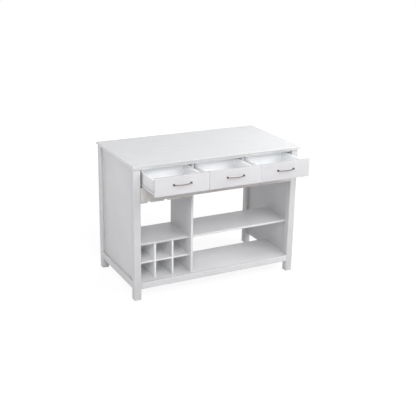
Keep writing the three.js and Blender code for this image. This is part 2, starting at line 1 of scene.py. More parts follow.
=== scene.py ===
# %% [markdown]
# # A white kitchen island in Blender
#
# The island is a flat-pack piece of furniture: painted boards on four square posts, a
# moulded worktop, three drawers on roller slides, a rack for stemmed glasses and a set of
# bottle cubbies. Its solids are already made and packed. This lesson dresses them: it
# rounds the edges of the boards, rebuilds the moulding, the handles and the slides, adds
# the screws, and gives each piece its finish.
#
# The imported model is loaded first. Every length below is in metres and lies in its frame.

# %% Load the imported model
import bpy
import bmesh
import json
import math
from mathutils import Matrix, Vector

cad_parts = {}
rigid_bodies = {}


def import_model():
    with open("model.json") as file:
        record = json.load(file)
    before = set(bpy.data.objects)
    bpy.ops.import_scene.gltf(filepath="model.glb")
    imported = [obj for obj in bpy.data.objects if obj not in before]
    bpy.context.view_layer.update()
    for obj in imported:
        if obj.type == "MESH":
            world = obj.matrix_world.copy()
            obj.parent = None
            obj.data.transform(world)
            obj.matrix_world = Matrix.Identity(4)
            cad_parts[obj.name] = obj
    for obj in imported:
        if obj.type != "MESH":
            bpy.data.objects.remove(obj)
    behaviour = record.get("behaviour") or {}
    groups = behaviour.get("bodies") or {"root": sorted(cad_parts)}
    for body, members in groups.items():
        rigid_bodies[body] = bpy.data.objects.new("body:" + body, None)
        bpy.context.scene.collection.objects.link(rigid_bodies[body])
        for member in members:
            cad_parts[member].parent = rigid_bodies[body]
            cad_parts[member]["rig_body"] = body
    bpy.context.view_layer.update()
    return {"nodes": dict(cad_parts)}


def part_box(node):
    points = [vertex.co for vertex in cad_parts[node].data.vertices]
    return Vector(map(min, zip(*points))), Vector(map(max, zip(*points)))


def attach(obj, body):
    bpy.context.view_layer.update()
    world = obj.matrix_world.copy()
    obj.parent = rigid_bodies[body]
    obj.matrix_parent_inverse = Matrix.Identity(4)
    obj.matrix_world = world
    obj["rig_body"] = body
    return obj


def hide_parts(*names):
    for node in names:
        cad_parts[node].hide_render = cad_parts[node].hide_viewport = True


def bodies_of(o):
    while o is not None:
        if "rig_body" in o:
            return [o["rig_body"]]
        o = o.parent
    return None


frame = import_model()
MM = 0.001

# %% [markdown]
# ## Camera
#
# The photograph was taken from the left, above the worktop. The camera's place, turn and
# lens were found by matching the corners of the island to the picture, so they are written
# here as numbers. The place is counted from the middle of the worktop's front edge, and its
# height from the floor. Yaw turns the view to the right, pitch tips it down, and a slight
# roll levels it as in the picture. Lens and sensor are in millimetres, as Blender has them.
#
# A new object is not in the scene until it is linked to a collection, so one helper makes
# it and links it.

# %% Camera at the photograph's viewing angle
WORKTOP_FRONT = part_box("worktop")[0].y
CAMERA_PLACE = Vector((-2.3897, WORKTOP_FRONT - 4.3901, 2.3288))
CAMERA_YAW = math.radians(27.651)
CAMERA_PITCH = math.radians(-19.490)
CAMERA_ROLL = math.radians(1.136)
CAMERA_LENS = 69.74
CAMERA_SENSOR = 36


def camera_turn(yaw, pitch, roll):
    forward = Vector((
        math.sin(yaw) * math.cos(pitch),
        math.cos(yaw) * math.cos(pitch),
        math.sin(pitch),
    ))
    level = Vector((math.cos(yaw), -math.sin(yaw), 0))
    above = level.cross(forward)
    right = level * math.cos(roll) + above * math.sin(roll)
    up = above * math.cos(roll) - level * math.sin(roll)
    return Matrix((right, up, -forward)).transposed().to_4x4()


def new_object(name, data):
    made = bpy.data.objects.new(name, data)
    bpy.context.scene.collection.objects.link(made)
    return made


camera_data = bpy.data.cameras.new("camera")
camera_data.lens = CAMERA_LENS
camera_data.sensor_width = CAMERA_SENSOR
camera = new_object("camera", camera_data)
camera.matrix_world = (
    Matrix.Translation(CAMERA_PLACE) @ camera_turn(CAMERA_YAW, CAMERA_PITCH, CAMERA_ROLL)
)
bpy.context.scene.camera = camera
bpy.context.scene.view_settings.view_transform = "Standard"
print("camera at", tuple(CAMERA_PLACE), "lens", CAMERA_LENS)

# %% [markdown]
# ## Node trees
#
# Materials and Geometry Nodes are both trees of nodes. A few helpers keep the cells below
# short. An input is given either a value or the output that feeds it, and a space in its
# name is written as an underscore.

# %% Helpers for node trees
def set_inputs(tree, node, **inputs):
    for name, value in inputs.items():
        entry = node.inputs[name.replace("_", " ")]
        if isinstance(value, bpy.types.NodeSocket):
            tree.links.new(value, entry)
        else:
            entry.default_value = value


def add_node(tree, kind, settings=None, **inputs):
    node = tree.nodes.new(kind)
    for name, value in (settings or {}).items():
        setattr(node, name, value)
    set_inputs(tree, node, **inputs)
    return node


def wire(tree, wires):
    """Each wire runs from a node's output to a node's input."""
    for source, output, target, entry in wires:
        tree.links.new(source.outputs[output], target.inputs[entry])


def new_material(name, **shader_values):
    material = bpy.data.materials.new(name)
    material.use_nodes = True
    shader = material.node_tree.nodes["Principled BSDF"]
    set_inputs(material.node_tree, shader, **shader_values)
    return material, material.node_tree, shader


print("node helpers ready")

# %% [markdown]
# Nearly every finish here has the same steps: a place on the piece, a noise that reads it,
# the noise spread over a range of values, a mix of two colours, and a bump. Noise seldom
# leaves the middle of its range, so that is what gets spread.

# %% Helpers for finishes
NOISE_RANGE = (0.3, 0.7)


def object_pattern(tree, stretch=(1, 1, 1)):
    place = add_node(tree, "ShaderNodeTexCoord").outputs["Object"]
    mapping = add_node(tree, "ShaderNodeMapping", Vector=place, Scale=stretch)
    return mapping.outputs["Vector"]


def noise(tree, place, scale, detail=3.0, roughness=0.5, distortion=0.0):
    node = add_node(
        tree, "ShaderNodeTexNoise", Vector=place,
        Scale=scale, Detail=detail, Roughness=roughness, Distortion=distortion,
    )
    return node.outputs["Fac"]


def spread(tree, value, low=0, high=1, given=NOISE_RANGE):
    """The given range of the value becomes the range from low to high."""
    node = add_node(
        tree, "ShaderNodeMapRange", Value=value,
        From_Min=given[0], From_Max=given[1], To_Min=low, To_Max=high,
    )
    return node.outputs["Result"]


def mix_colours(tree, share, first, second):
    """The second colour shows where the share is 1."""
    node = add_node(tree, "ShaderNodeMix", {"data_type": "RGBA"}, Factor=share)
    for entry, colour in (("A", first), ("B", second)):
        if isinstance(colour, tuple):
            colour = (*colour, 1)
        set_inputs(tree, node, **{entry: colour})
    return node.outputs["Result"]


def bump(tree, height, depth, **under):
    node = add_node(tree, "ShaderNodeBump", Height=height, Distance=depth, **under)
    return node.outputs["Normal"]


print("finish helpers ready")

# %% [markdown]
# ## White paint
#
# The boards are sprayed with a satin white. Paint on board is never quite flat: it has a
# fine orange peel from the spray, and the grain of the wood under it still telegraphs
# through, along the length of the piece. So there is a paint for each way that the grain
# can run. A wide, faint noise shifts the tone between a deep and a light value, as pieces of
# one unit never match to the last degree.

# %% Satin white paint
PAINT_IOR = 1.48
PAINT_ROUGHNESS = (0.38, 0.52)
GRAIN_STRETCH = {"x": (0.05, 1, 1), "y": (1, 0.05, 1), "z": (1, 1, 0.05)}
GRAIN_DEPTH = 0.08 * MM
PEEL_DEPTH = 0.05 * MM


def white_paint(name, grain, deep, light):
    material, tree, shader = new_material(name, IOR=PAINT_IOR)
    plain = object_pattern(tree)
    along = object_pattern(tree, GRAIN_STRETCH[grain])
    tone = noise(tree, plain, scale=5, detail=2)
    fibres = noise(tree, along, scale=420, detail=4, roughness=0.6)
    peel = noise(tree, plain, scale=650, detail=1)
    set_inputs(
        tree, shader,
        Base_Color=mix_colours(tree, spread(tree, tone), deep, light),
        Roughness=spread(tree, fibres, *PAINT_ROUGHNESS),
        Normal=bump(tree, peel, PEEL_DEPTH, Normal=bump(tree, fibres, GRAIN_DEPTH)),
    )
    return material


def paints(name, grains, deep, light):
    return {grain: white_paint(f"{name}_{grain}", grain, deep, light) for grain in grains}


print("grain can run along", ", ".join(GRAIN_STRETCH))

# %% [markdown]
# In the picture the posts and end rails are a shade deeper than the panels and rails, the
# drawer fronts lie between the two, and the apron under the drawers is deeper and a little
# warmer. The deeper whites of the frame and the apron are painted shade: the shade on the
# posts towards the left end, and the shade that falls under the open drawers.

# %% Paints of the frame, the fronts and the apron, with painted shade on frame and apron
PAINT_DEEP, PAINT_LIGHT = (0.575, 0.57, 0.583), (0.605, 0.60, 0.613)
FRAME_DEEP, FRAME_LIGHT = (0.54, 0.537, 0.55), (0.57, 0.567, 0.58)
FRONT_DEEP, FRONT_LIGHT = (0.565, 0.56, 0.58), (0.595, 0.59, 0.608)
APRON_DEEP, APRON_LIGHT = (0.51, 0.495, 0.49), (0.54, 0.525, 0.52)
PAINT = paints("white_paint", "xyz", PAINT_DEEP, PAINT_LIGHT)
FRAME_PAINTED_SHADE = paints("frame_paint", "yz", FRAME_DEEP, FRAME_LIGHT)
FRONT_PAINT = white_paint("front_paint", "x", FRONT_DEEP, FRONT_LIGHT)
APRON_PAINTED_SHADE = white_paint("apron_paint", "x", APRON_DEEP, APRON_LIGHT)
print("paints:", [*PAINT, *FRAME_PAINTED_SHADE], "and", FRONT_PAINT.name, APRON_PAINTED_SHADE.name)

# %% [markdown]
# The boards inside the island stand in shade, and they get brighter whites than the frame
# as painted light, which lifts that shade. The middle shelves and the divider are a little
# brighter than the frame in front of them, the bottom shelf a touch more, and the thin
# uprights of the bottle cubbies are brighter still. The drawer boxes are the brightest and
# a little cooler: painted light for the shaded insides of the drawers under the worktop.

# %% Painted light on the inner boards and the drawer boxes
MIDDLE_DEEP, MIDDLE_LIGHT = (0.633, 0.633, 0.648), (0.657, 0.657, 0.672)
SHELF_DEEP, SHELF_LIGHT = (0.665, 0.665, 0.68), (0.69, 0.69, 0.705)
CUBBY_DEEP, CUBBY_LIGHT = (0.745, 0.755, 0.775), (0.77, 0.78, 0.80)
BOX_DEEP, BOX_LIGHT = (0.93, 0.94, 0.95), (0.945, 0.955, 0.965)
SHELF_PAINTED_LIGHT = paints("shelf_white", "xz", SHELF_DEEP, SHELF_LIGHT)
MIDDLE_PAINTED_LIGHT = paints("middle_white", "xz", MIDDLE_DEEP, MIDDLE_LIGHT)
CUBBY_PAINTED_LIGHT = paints("cubby_white", "z", CUBBY_DEEP, CUBBY_LIGHT)
BOX_PAINTED_LIGHT = paints("box_white", "xy", BOX_DEEP, BOX_LIGHT)
print("inner whites:", len(SHELF_PAINTED_LIGHT) + len(MIDDLE_PAINTED_LIGHT) + len(CUBBY_PAINTED_LIGHT))
print("box whites:", [m.name for m in BOX_PAINTED_LIGHT.values()])

# %% [markdown]
# The sheet that makes a drawer's bottom is white on its upper side only. Its underside is
# bare hardboard, brown and a little fibrous. One noise gives both its colour and its fuzz.

# %% Bare hardboard
HARDBOARD_DEEP, HARDBOARD_LIGHT = (0.24, 0.135, 0.075), (0.36, 0.22, 0.13)
HARDBOARD_ROUGHNESS = 0.75
HARDBOARD_FUZZ = 0.1 * MM


def bare_hardboard():
    material, tree, shader = new_material("bare_hardboard", Roughness=HARDBOARD_ROUGHNESS)
    fibres = noise(tree, object_pattern(tree), scale=380, detail=5, roughness=0.7)
    colour = mix_colours(tree, spread(tree, fibres), HARDBOARD_DEEP, HARDBOARD_LIGHT)
    set_inputs(tree, shader, Base_Color=colour, Normal=bump(tree, fibres, HARDBOARD_FUZZ))
    return material


HARDBOARD = bare_hardboard()
print("underside of the drawers:", HARDBOARD.name)

# %% [markdown]
# ## Worktop surface
#
# The worktop is a smooth white with a very faint cool-grey figure, like a pale stone
# print under lacquer. Soft clouds come from one noise, and the veins are the narrow band
# where a second, warped noise crosses its middle value.

# %% Faint clouds and veins
TOP_WHITE = (0.752, 0.754, 0.764)
TOP_CLOUD = (0.722, 0.728, 0.742)
TOP_VEIN = (0.662, 0.674, 0.694)
VEIN_MIDDLE, VEIN_HALF_WIDTH = 0.5, 0.015
VEIN_STRENGTH = 0.55


def clouds_and_veins(tree, place):
    clouds = noise(tree, place, scale=7, detail=5, roughness=0.6)
    cloudy = mix_colours(tree, spread(tree, clouds), TOP_CLOUD, TOP_WHITE)
    flow = noise(tree, place, scale=4.5, detail=6, roughness=0.62, distortion=1.2)
    vein = add_node(tree, "ShaderNodeValToRGB", Fac=flow)
    ramp = vein.color_ramp
    for element, side in zip(ramp.elements, (-1, 1)):
        element.position = VEIN_MIDDLE + side * VEIN_HALF_WIDTH
        element.color = (0, 0, 0, 1)
    ramp.elements.new(VEIN_MIDDLE).color = (*[VEIN_STRENGTH] * 3, 1)
    return mix_colours(tree, vein.outputs["Color"], cloudy, TOP_VEIN)


print("vein strength:", VEIN_STRENGTH)

# %% [markdown]
# The edge of the worktop is routed: a round at the top, a plain band, and a cove under it.
# In the picture the band is deeper than the top, and the cove and the underside are
# brighter. So the band gets a painted shade, and the cove and the underside, which lie in
# shade under the nose, get a painted light. The piece's own z coordinate mixes both in,
# each over a millimetre or two, so that no hard line shows. A fade is written as where it
# begins and where it is full: the band's is counted down from the top, and the cove's from
# the foot of the band.

# %% Painted shade and light on the worktop's edge
ROUND_RADIUS = 4 * MM
BAND_HEIGHT = 9 * MM
COVE_RADIUS = 8 * MM
BAND_PAINTED_SHADE = (0.60, 0.60, 0.60)
BAND_FADE = (1 * MM, 3 * MM)
COVE_PAINTED_LIGHT = (0.86, 0.865, 0.87)
COVE_FADE = (-0.5 * MM, 1 * MM)


def edge_painted_shade_and_light(tree, colour):
    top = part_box("worktop")[1].z
    band_foot = top - ROUND_RADIUS - BAND_HEIGHT
    height = add_node(tree, "ShaderNodeSeparateXYZ", Vector=object_pattern(tree))
    for white, start, (begins, full) in (
        (BAND_PAINTED_SHADE, top, BAND_FADE), (COVE_PAINTED_LIGHT, band_foot, COVE_FADE),
    ):
        share = spread(tree, height.outputs["Z"], given=(start - begins, start - full))
        colour = mix_colours(tree, share, colour, white)
    return colour


print("height of the routed edge:", ROUND_RADIUS + BAND_HEIGHT + COVE_RADIUS)

# %% [markdown]
# The surface shines only softly. A noise hardly seen in the colour shifts its roughness,
# and the finest one gives the lacquer its slight unevenness.

# %% Worktop white
TOP_SHINE = {
    "IOR": 1.5, "Specular_IOR_Level": 0.35, "Coat_Weight": 0.06, "Coat_Roughness": 0.3,
}
TOP_ROUGHNESS = (0.42, 0.54)
FIGURE_STRETCH = (1, 1.6, 1)
LACQUER_DEPTH = 0.03 * MM


def worktop_surface():
    material, tree, shader = new_material("worktop_white", **TOP_SHINE)
    place = object_pattern(tree, FIGURE_STRETCH)
    set_inputs(
        tree, shader,
        Base_Color=edge_painted_shade_and_light(tree, clouds_and_veins(tree, place)),
        Roughness=spread(tree, noise(tree, place, scale=60), *TOP_ROUGHNESS),
        Normal=bump(tree, noise(tree, place, scale=500, detail=1), LACQUER_DEPTH),
    )
    return material


TOP = worktop_surface()
print("worktop finish:", TOP.name)

# %% [markdown]
# ## Metal and nylon
#
# The slides are folded steel with a white epoxy coat, which has the fine pebble of powder
# baked on metal. Their wheels are black nylon, and the screws are zinc plated. All three are
# finely pebbled, so one helper makes them, with the grain finer or coarser.

# %% Epoxy, nylon and zinc
def pebbled(name, deep, light, scale, depth, roughness, **values):
    material, tree, shader = new_material(name, **values)
    place = object_pattern(tree)
    grain = noise(tree, place, scale=scale, detail=2)
    cloud = noise(tree, place, scale=30, detail=2)
    set_inputs(
        tree, shader,
        Base_Color=mix_colours(tree, spread(tree, cloud), deep, light),
        Roughness=spread(tree, grain, *roughness),
        Normal=bump(tree, grain, depth),
    )
    return material


EPOXY = pebbled(
    "white_epoxy", deep=(0.60, 0.60, 0.605), light=(0.64, 0.64, 0.645),
    scale=1500, depth=0.04 * MM, roughness=(0.32, 0.44),
)
NYLON = pebbled(
    "black_nylon", deep=(0.03, 0.03, 0.032), light=(0.05, 0.05, 0.052),
    scale=900, depth=0.03 * MM, roughness=(0.42, 0.52),
)
ZINC = pebbled(
    "zinc_plate", deep=(0.55, 0.56, 0.58), light=(0.66, 0.67, 0.69),
    scale=1200, depth=0.02 * MM, roughness=(0.25, 0.4), Metallic=1,
)
print("pebbled finishes:", EPOXY.name, NYLON.name, ZINC.name)

# %% [markdown]
# The handles are nickel brushed along the bar, so the scratches are a noise stretched out
# sideways. Their feet are a much darker nickel than the bar.

# %% Brushed nickel
SCRATCH_STRETCH = (0.03, 1, 1)
SCRATCH_DEPTH = 0.03 * MM
NICKEL_ROUGHNESS = (0.26, 0.44)


def brushed_nickel(name, deep, light):
    material, tree, shader = new_material(name, Metallic=1)
    scratches = noise(tree, object_pattern(tree, SCRATCH_STRETCH), scale=2600)
    tarnish = noise(tree, object_pattern(tree), scale=60)
    set_inputs(
        tree, shader,
        Base_Color=mix_colours(tree, spread(tree, tarnish), deep, light),
        Roughness=spread(tree, scratches, *NICKEL_ROUGHNESS),
        Normal=bump(tree, scratches, SCRATCH_DEPTH),
    )
    return material


NICKEL = brushed_nickel(
    "brushed_nickel", deep=(0.25, 0.205, 0.165), light=(0.31, 0.26, 0.215)
)
DARK_NICKEL = brushed_nickel(
    "dark_nickel", deep=(0.065, 0.055, 0.048), light=(0.10, 0.088, 0.078)
)
print("nickels:", NICKEL.name, DARK_NICKEL.name)

# %% [markdown]
# ## Finishing a piece
#
# Each piece here takes the place of one of the imported solids, or goes with it. It rides on
# that solid's body, so a drawer takes its own screws and rollers along when it opens. The
# other helpers end a mesh: they turn bmesh work into a mesh, shade it smoothly between its
# sharp edges, and make plain mesh of what the modifiers made.

# %% Helpers that put a piece in the scene
SHARP_ANGLE = math.radians(32)
SAME_POINT = 0.001 * MM


def body_of(node):
    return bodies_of(frame["nodes"][node])[0]


def place_mesh(name, mesh, material, body, replaced=()):
    mesh.materials.append(material)
    piece = new_object(name, mesh)
    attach(piece, body)
    if replaced:
        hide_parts(*replaced)
    return piece


def mesh_from(work, name):
    mesh = bpy.data.meshes.new(name)
    work.to_mesh(mesh)
    work.free()
    return mesh


def shade_smooth(mesh, sharp_above=SHARP_ANGLE):
    mesh.polygons.foreach_set("use_smooth", [True] * len(mesh.polygons))
    mesh.set_sharp_from_angle(angle=sharp_above)


def settle(piece):
    depsgraph = bpy.context.evaluated_depsgraph_get()
    mesh = bpy.data.meshes.new_from_object(
        piece.evaluated_get(depsgraph), preserve_all_data_layers=True, depsgraph=depsgraph
    )
    mesh.name = piece.name
    piece.modifiers.clear()
    piece.data = mesh


# %% [markdown]
# ## Painted boards
#
# Most of the island is board: posts, rails, panels, shelves, partitions and drawer boxes.
# Their solids have the right size, grooves and notches. On a real board no edge is sharp:
# it is eased before the spray, and that small round catches the light. So each solid is
# copied, its loose triangles are merged into flat faces again, and a small bevel with three
# segments rolls every edge.

# %% Round the edges of a board
EDGE_ROLL = 0.5 * MM
ROLL_SEGMENTS = 3
ROLL_ABOVE = math.radians(25)
FLAT_WITHIN = math.radians(0.5)


def merged_copy(node):
    work = bmesh.new()
    work.from_mesh(frame["nodes"][node].data)
    bmesh.ops.remove_doubles(work, verts=work.verts, dist=SAME_POINT)
    bmesh.ops.dissolve_limit(
        work, angle_limit=FLAT_WITHIN, verts=work.verts, edges=work.edges
    )
    return mesh_from(work, node)


def roll_edges(piece, width, angle):
    bevel = piece.modifiers.new("rolled edges", "BEVEL")
    bevel.width = width
    bevel.segments = ROLL_SEGMENTS
    bevel.limit_method = "ANGLE"
    bevel.angle_limit = angle
    settle(piece)


print("edges roll by", EDGE_ROLL, "m")

# %% [markdown]
# A few boards have a second finish on the faces that look one way. The undersides of the
# drawers are bare, and the bay's floor and back, whose brighter white is painted light,
# keep the plain paint where they are seen from below or behind. The rest follow the picture,
# as painted light and shade on faces beside an opening: the ends of two drawer fronts and
# one side of the first cubby upright take a brighter white as painted light, and the other
# upright's side, the inside of the right end panel and the left shelf's front edge a deeper
# one as painted shade. The outermost drawer sides take a white deeper than their box's
# painted light.

# %% Boards with a second finish, or painted light and shade, on one side
LEFT, RIGHT, DOWN = Vector((-1, 0, 0)), Vector((1, 0, 0)), Vector((0, 0, -1))
FORWARD, BACKWARD = Vector((0, -1, 0)), Vector((0, 1, 0))
FACING_COSINE = 0.9
SECOND_FINISH_OR_PAINTED_LIGHT = {
    "left_drawer_side_left": (LEFT, SHELF_PAINTED_LIGHT["x"]),
    "right_drawer_side_right": (RIGHT, SHELF_PAINTED_LIGHT["x"]),
    "left_drawer_bottom": (DOWN, HARDBOARD),
    "centre_drawer_bottom": (DOWN, HARDBOARD),
    "right_drawer_bottom": (DOWN, HARDBOARD),
    "drawer_bay_floor": (DOWN, PAINT["x"]),
    "drawer_bay_back": (BACKWARD, PAINT["x"]),
    # Painted shade on the left shelf's edge and the right end panel's inside, painted light
    # on the two fronts' ends and the first upright's side, and painted shade on the second
    # upright's side.
    "left_shelf": (FORWARD, FRAME_PAINTED_SHADE["y"]),
    "end_panel_right": (LEFT, FRAME_PAINTED_SHADE["z"]),
    "centre_drawer_front": (LEFT, BOX_PAINTED_LIGHT["y"]),
    "right_drawer_front": (LEFT, BOX_PAINTED_LIGHT["y"]),
    "cubby_upright_1": (LEFT, BOX_PAINTED_LIGHT["y"]),
    "cubby_upright_2": (LEFT, SHELF_PAINTED_LIGHT["z"]),
}


def painted_board(node, finish):
    mesh = merged_copy(node)
    piece = place_mesh(f"{node}_painted", mesh, finish, body_of(node), [node])
    roll_edges(piece, EDGE_ROLL, ROLL_ABOVE)
    shade_smooth(piece.data)
    if node in SECOND_FINISH_OR_PAINTED_LIGHT:
        way, second = SECOND_FINISH_OR_PAINTED_LIGHT[node]
        piece.data.materials.append(second)
        for face in piece.data.polygons:
            face.material_index = int(face.normal.dot(way) > FACING_COSINE)
    return piece


print("boards with a second finish:", len(SECOND_FINISH_OR_PAINTED_LIGHT))

# %% [markdown]
# Now every board is made with its finish. Grain runs along a board, so a post has it along
# z, an end rail along y and a shelf along x.

# %% Make every board
BOARDS_OF = (
    (FRAME_PAINTED_SHADE["z"], (
        "post_front_left", "post_front_right", "post_back_left", "post_back_right",
    )),
    (FRAME_PAINTED_SHADE["y"], ("end_rail_left", "end_rail_right")),
    (PAINT["z"], ("end_panel_left", "end_panel_right")),
    (APRON_PAINTED_SHADE, ("front_apron",)),
    (PAINT["x"], ("front_bottom_rail", "back_top_rail")),
    # The rail over the drawers and the bay's floor and back take the boxes' painted light,
    # which lifts the shade under the worktop.
    (BOX_PAINTED_LIGHT["x"], ("front_top_rail", "drawer_bay_floor", "drawer_bay_back")),
    (PAINT["y"], (
        "drawer_bay_side_left", "drawer_bay_side_right", "drawer_partition_left",
        "drawer_partition_right", "stemware_slat_1", "stemware_slat_2", "stemware_slat_3",
        "stemware_slat_4",
    )),
    (SHELF_PAINTED_LIGHT["x"], ("bottom_shelf", "cubby_middle_board")),
    (MIDDLE_PAINTED_LIGHT["x"], ("left_shelf", "right_shelf")),
    (MIDDLE_PAINTED_LIGHT["z"], ("bay_divider",)),
    (CUBBY_PAINTED_LIGHT["z"], ("cubby_upright_1", "cubby_upright_2")),
)
DRAWERS = ("left", "centre", "right")
BOX_GRAIN = {"side_left": "y", "side_right": "y", "back": "x", "bottom": "y"}
boards = []
for finish, nodes in BOARDS_OF:
    boards += [painted_board(node, finish) for node in nodes]
for word in DRAWERS:
    boards.append(painted_board(f"{word}_drawer_front", FRONT_PAINT))
    for part, grain in BOX_GRAIN.items():
        boards.append(painted_board(f"{word}_drawer_{part}", BOX_PAINTED_LIGHT[grain]))
print("boards:", len(boards), "faces:", sum(len(b.data.polygons) for b in boards))

# %% [markdown]
# ## The worktop's moulding
#
# The profile of the routed edge is drawn first, as points that say how far in they lie and
# how far down: a quarter round, the band and a hollow quarter for the cove.

# %% Profile of the moulding
ARC_STEPS = 10


def arc(centre, radius, start, end, steps=ARC_STEPS):
    turns = [math.radians(start + (end - start) * i / steps) for i in range(steps + 1)]
    return [
        (centre[0] + radius * math.cos(t), centre[1] + radius * math.sin(t)) for t in turns
    ]


def worktop_profile(thickness):
    cove_foot = -ROUND_RADIUS - BAND_HEIGHT - COVE_RADIUS
    points = arc((ROUND_RADIUS, -ROUND_RADIUS), ROUND_RADIUS, 90, 180)
    points += arc((0, cove_foot), COVE_RADIUS, 90, 0)
    points.append((COVE_RADIUS, -thickness))
    return points


print("points in an arc:", ARC_STEPS + 1)

# %% [markdown]
# A moulding that runs round a rectangle and is mitred at its corners is a stack of
# rectangles. Each point of the profile gives one. Joining each ring to the next makes the
# moulding and its mitres in one go.

# %% Build the worktop from rings
MITRE_ROLL = 0.6 * MM
MITRE_ANGLE = math.radians(40)


def make_worktop():
    low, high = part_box("worktop")
    work = bmesh.new()
    rings = []
    for inset, drop in worktop_profile(high.z - low.z):
        corners = (
            (low.x + inset, low.y + inset), (high.x - inset, low.y + inset),
            (high.x - inset, high.y - inset), (low.x + inset, high.y - inset),
        )
        rings.append([work.verts.new((x, y, high.z + drop)) for x, y in corners])
    for upper, lower in zip(rings, rings[1:]):
        for i in range(4):
            j = (i + 1) % 4
            work.faces.new((upper[i], lower[i], lower[j], upper[j]))
    work.faces.new(rings[0])
    work.faces.new(list(reversed(rings[-1])))
    bmesh.ops.recalc_face_normals(work, faces=work.faces)
    name = "worktop_moulded"
    mesh = mesh_from(work, name)
    piece = place_mesh(name, mesh, TOP, body_of("worktop"), ["worktop"])
    roll_edges(piece, MITRE_ROLL, MITRE_ANGLE)
    shade_smooth(piece.data, MITRE_ANGLE)
    return piece


worktop = make_worktop()
print("worktop faces:", len(worktop.data.polygons))

# %% [markdown]
# ## Turned parts
#
# The rollers and the feet of the handles are round, so one helper, a lathe, spins a profile
# of (radius, height) points about the z axis. The doubles at the axis are merged, and the
# normals are worked out again, because a spin can leave them inside out.

# %% A lathe
def turned(name, profile, sides=32):
    work = bmesh.new()
    verts = [work.verts.new((r, 0, h)) for r, h in profile]
    edges = [work.edges.new(pair) for pair in zip(verts, verts[1:])]
    bmesh.ops.spin(
        work, geom=verts + edges, cent=(0, 0, 0), axis=(0, 0, 1), angle=math.tau, steps=sides
    )
    bmesh.ops.remove_doubles(work, verts=work.verts, dist=SAME_POINT)
    bmesh.ops.recalc_face_normals(work, faces=work.faces)
    mesh = mesh_from(work, name)
    shade_smooth(mesh)
    return mesh


print("lathe ready")

# %% [markdown]
# A nylon roller turns on a riveted pin, whose head stands a little proud. Round the pin is
# a hub, then a shallow dish, and the tread has rounded shoulders. Both faces are alike, so
# half of the profile is drawn and mirrored. Its points are (radius, height above the face).

# %% A roller
ROLLER_RADIUS = 8.6 * MM
ROLLER_WIDTH = 6.6 * MM
SHOULDER = 1.2 * MM
ROLLER_FACE = (
    (0, 0.2), (1.5, 0.1), (2.2, -0.3), (2.6, 0), (3.4, 0), (3.8, -0.9), (6.0, -0.9), (6.5, 0),
)


def roller_mesh():
    half = ROLLER_WIDTH / 2
    face = [(r * MM, half + h * MM) for r, h in ROLLER_FACE]
    tread = arc((ROLLER_RADIUS - SHOULDER, half - SHOULDER), SHOULDER, 90, 0, steps=5)
    upper = face + tread
    lower = [(r, -h) for r, h in reversed(upper)]
    return turned("roller", upper + lower, sides=40)


ROLLER = roller_mesh()
print("roller faces:", len(ROLLER.polygons))

# %% [markdown]
# ## Screws
#
# A pan head is a low dome with a cross recess. The dome is a stack of rings, and its flat
# top is filled round a cross whose floor lies a little deeper. The head is small and used
# often, so it has few faces. Its sizes are shares of its radius and height.

# %% Helpers for the screw
SCREW_RADIUS = 3.4 * MM
SCREW_HEIGHT = 1.6 * MM
DOME = ((1, 0), (0.95, 0.55), (0.84, 0.86), (0.66, 1))
CROSS_ARM, CROSS_HALF_WIDTH = 0.5, 0.11
RECESS_TAPER, RECESS_FLOOR = 0.8, 0.35
SCREW_SHARP_ANGLE = math.radians(35)


def cross_outline(a, h):
    """A cross with arms that reach to a and are 2 h wide."""
    return [
        (a, -h), (a, h), (h, h), (h, a), (-h, a), (-h, h),
        (-a, h), (-a, -h), (-h, -h), (-h, -a), (h, -a), (h, -h),
    ]


def join_rings(work, lower, upper):
    for i in range(len(lower)):
        j = (i + 1) % len(lower)
        work.faces.new((lower[i], lower[j], upper[j], upper[i]))


print("points in the cross:", len(cross_outline(CROSS_ARM, CROSS_HALF_WIDTH)))

# %% [markdown]
# The crown of the dome and the cross are two closed loops of edges. Filling between them
# with triangles gives the flat top with its hole, and the recess then closes the hole.

# %% A pan head with a cross recess
def screw_mesh(sides=20):
    work = bmesh.new()
    turns = [math.tau * i / sides for i in range(sides)]
    rings = []
    for share, rise in DOME:
        r, z = share * SCREW_RADIUS, rise * SCREW_HEIGHT
        rings.append([work.verts.new((r * math.cos(t), r * math.sin(t), z)) for t in turns])
    for lower, upper in zip(rings, rings[1:]):
        join_rings(work, lower, upper)
    work.faces.new(list(reversed(rings[0])))
    cross = cross_outline(CROSS_ARM * SCREW_RADIUS, CROSS_HALF_WIDTH * SCREW_RADIUS)
    rim = [work.verts.new((x, y, SCREW_HEIGHT)) for x, y in cross]
    floor = [
        work.verts.new((x * RECESS_TAPER, y * RECESS_TAPER, RECESS_FLOOR * SCREW_HEIGHT))
        for x, y in cross
    ]
    crown = rings[-1]
    edges = [work.edges.get(pair) for pair in zip(crown, crown[1:] + crown[:1])]
    edges += [work.edges.new(pair) for pair in zip(rim, rim[1:] + rim[:1])]
    bmesh.ops.triangle_fill(work, edges=edges, use_beauty=True)
    join_rings(work, rim, floor)
    work.faces.new(floor)
    bmesh.ops.recalc_face_normals(work, faces=work.faces)
    mesh = mesh_from(work, "screw_head")
    shade_smooth(mesh, SCREW_SHARP_ANGLE)
    return mesh


SCREW = screw_mesh()
print("screw faces:", len(SCREW.polygons))

# %% [markdown]
# ## Setting out repeated parts with Geometry Nodes
#
# Twelve rollers and dozens of screws are all the same two shapes. The tree below sets a
# part on every vertex of a carrier mesh and turns it to face the way that the vertex
# stores in its "facing" attribute. Realize Instances and Set Material end the tree, because
# an exported model can't hold instances.

